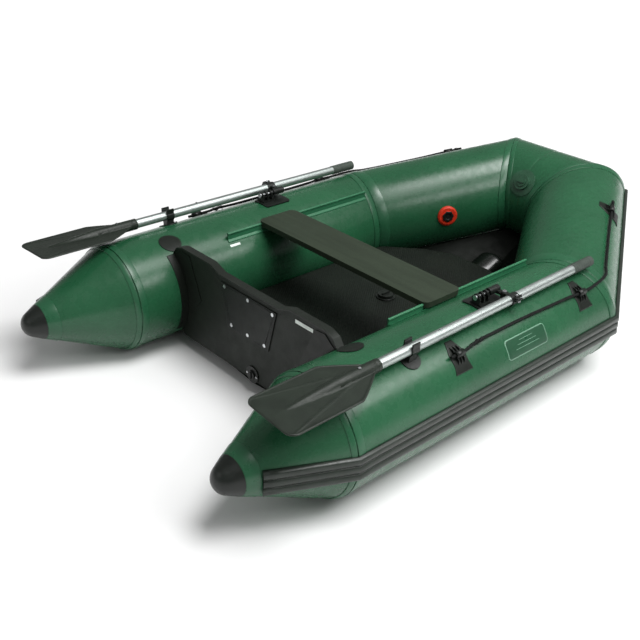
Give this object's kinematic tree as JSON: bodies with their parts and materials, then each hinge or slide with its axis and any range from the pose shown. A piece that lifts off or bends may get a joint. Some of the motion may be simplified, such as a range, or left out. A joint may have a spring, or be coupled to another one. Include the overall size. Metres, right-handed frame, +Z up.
{
  "type": "inflatable dinghy",
  "caption": "Small inflatable dinghy with a rigid transom, cone-ended side tubes, faceted raised bow, ribbed rub strake, sliding bench seat, pivoting oars stowed on the tubes and lifelines.",
  "frame": {"origin": "centre of the bounding box's bottom face, under the middle of the hull", "axes": "+X to the bow, +Y to port, +Z up"},
  "size_m": [2.2, 1.36, 0.4842],
  "materials": {
    "hull_green": "satin",
    "light_green": "satin",
    "black_rubber": "satin",
    "strake_grey": "satin",
    "floor_fabric": "satin",
    "board_grey": "satin",
    "seat_grey": "satin",
    "black_plastic": "satin",
    "grey_plastic": "satin",
    "red_plastic": "gloss",
    "alloy": "satin",
    "steel": "polished",
    "rope_black": "matte",
    "white_vinyl": "gloss"
  },
  "bodies": {
    "hull": {"bottom_skin": "strake_grey", "bow_valve": "light_green", "cap_port": "black_rubber", "cap_stbd": "black_rubber", "chamber_bow": "hull_green", "chamber_port": "hull_green", "chamber_stbd": "hull_green", "clip_port": "black_rubber", "clip_stbd": "black_rubber", "drain_body": "black_plastic", "eyes_port": "black_rubber", "eyes_stbd": "black_rubber", "floor_deck": "floor_fabric", "floor_tether": "black_rubber", "floor_valve": "black_plastic", "inner_plate": "black_plastic", "keel_tube": "floor_fabric", "labels": "white_vinyl", "lock_base_port": "black_rubber", "lock_base_stbd": "black_rubber", "lock_pins_port": "steel", "lock_pins_stbd": "steel", "motor_plate": "black_plastic", "rope_port": "rope_black", "rope_stbd": "rope_black", "seams_port": "light_green", "seams_stbd": "light_green", "seat_rails": "light_green", "strake_bow": "strake_grey", "strake_port": "strake_grey", "strake_stbd": "strake_grey", "transom_board": "board_grey", "transom_screws": "steel", "transom_tape_port": "black_rubber", "transom_tape_stbd": "black_rubber", "transom_trim": "grey_plastic", "valve_body": "red_plastic"},
    "seat": {"seat_board": "seat_grey"},
    "floor_cap_body": {"floor_cap": "black_plastic"},
    "drain_plug_body": {"drain_plug": "black_rubber"},
    "valve_pin_body": {"valve_pin": "black_plastic"},
    "bow_cap_body": {"bow_cap": "grey_plastic"},
    "yoke_port": {"lock_yoke_port": "black_plastic", "swing_pin_port": "steel"},
    "oar_port": {"blade_port": "grey_plastic", "shaft_aft_port": "alloy", "shaft_fwd_port": "alloy", "grip_port": "grey_plastic", "collar_port": "black_plastic", "oar_screws_port": "steel"},
    "button_body_port": {"button_port": "steel"},
    "yoke_stbd": {"lock_yoke_stbd": "black_plastic", "swing_pin_stbd": "steel"},
    "oar_stbd": {"blade_stbd": "grey_plastic", "shaft_aft_stbd": "alloy", "shaft_fwd_stbd": "alloy", "grip_stbd": "grey_plastic", "collar_stbd": "black_plastic", "oar_screws_stbd": "steel"},
    "button_body_stbd": {"button_stbd": "steel"}
  },
  "joints": [
    {"name": "lock_tilt_port", "type": "hinge", "parent": "hull", "child": "yoke_port", "pos_m": [-0.053, 0.4977, 0.388], "axis": [1, 0, 0], "range_deg": [0, 10]},
    {"name": "oar_swing_port", "type": "hinge", "parent": "yoke_port", "child": "oar_port", "pos_m": [-0.053, 0.5297, 0.381], "axis": [0, -0.0872, -0.9962], "range_deg": [0, 90], "deforming": ["clip_port"]},
    {"name": "button_press_port", "type": "slide", "parent": "oar_port", "child": "button_body_port", "axis": [0, -0.0872, -0.9962], "range_m": [0, 0.0024], "stiffness_N_per_m": 800},
    {"name": "lock_tilt_stbd", "type": "hinge", "parent": "hull", "child": "yoke_stbd", "pos_m": [-0.053, -0.4977, 0.388], "axis": [-1, 0, 0], "range_deg": [0, 10]},
    {"name": "oar_swing_stbd", "type": "hinge", "parent": "yoke_stbd", "child": "oar_stbd", "pos_m": [-0.053, -0.5297, 0.381], "axis": [0, -0.0872, 0.9962], "range_deg": [0, 90], "deforming": ["clip_stbd"]},
    {"name": "button_press_stbd", "type": "slide", "parent": "oar_stbd", "child": "button_body_stbd", "axis": [0, 0.0872, -0.9962], "range_m": [0, 0.0024], "stiffness_N_per_m": 800},
    {"name": "seat_slide", "type": "slide", "parent": "hull", "child": "seat", "axis": [1, 0, 0], "range_m": [-0.13, 0.33]},
    {"name": "floor_cap_hinge", "type": "hinge", "parent": "hull", "child": "floor_cap_body", "pos_m": [0.05215, 0, 0.134], "axis": [0, 1, 0], "range_deg": [0, 90]},
    {"name": "drain_pull", "type": "slide", "parent": "hull", "child": "drain_plug_body", "axis": [-1, 0, 0], "range_m": [0, 0.045]},
    {"name": "valve_press", "type": "slide", "parent": "hull", "child": "valve_pin_body", "axis": [0.5271, 0.8482, -0.0514], "range_m": [0, 0.002], "stiffness_N_per_m": 500},
    {"name": "bow_cap_turn", "type": "hinge", "parent": "hull", "child": "bow_cap_body", "pos_m": [0.7407, 0, 0.39501], "axis": [-0.8746, 0, 0.4848], "range_deg": [0, 90]}
  ]
}
